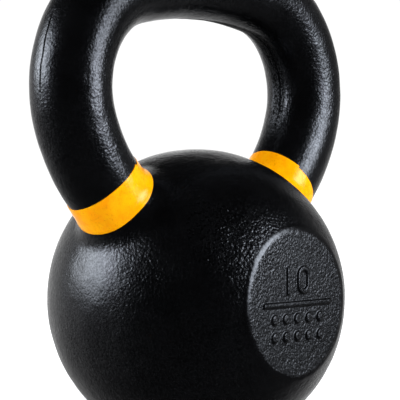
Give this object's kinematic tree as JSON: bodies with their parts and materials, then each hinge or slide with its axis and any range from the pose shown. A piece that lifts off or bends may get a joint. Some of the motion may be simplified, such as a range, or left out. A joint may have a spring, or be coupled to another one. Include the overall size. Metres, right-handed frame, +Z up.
{
  "type": "kettlebell",
  "caption": "Cast-iron kettlebell: a ball with a flat base and a round flat face front and back, a closed loop handle, and a coloured band round each horn.",
  "frame": {"origin": "centre of the flat base, on the floor", "axes": "+Z up through the ball's centre and the middle of the grip; X along the grip; -Y out of the marked face"},
  "size_m": [0.1848, 0.1146, 0.2103],
  "materials": {
    "casting": "black powder coat, semi-gloss, with a fine orange-peel grain",
    "band": "yellow wrap, semi-gloss"
  },
  "bodies": {
    "root": {"casting": "casting", "left_band": "band", "right_band": "band"}
  },
  "joints": []
}
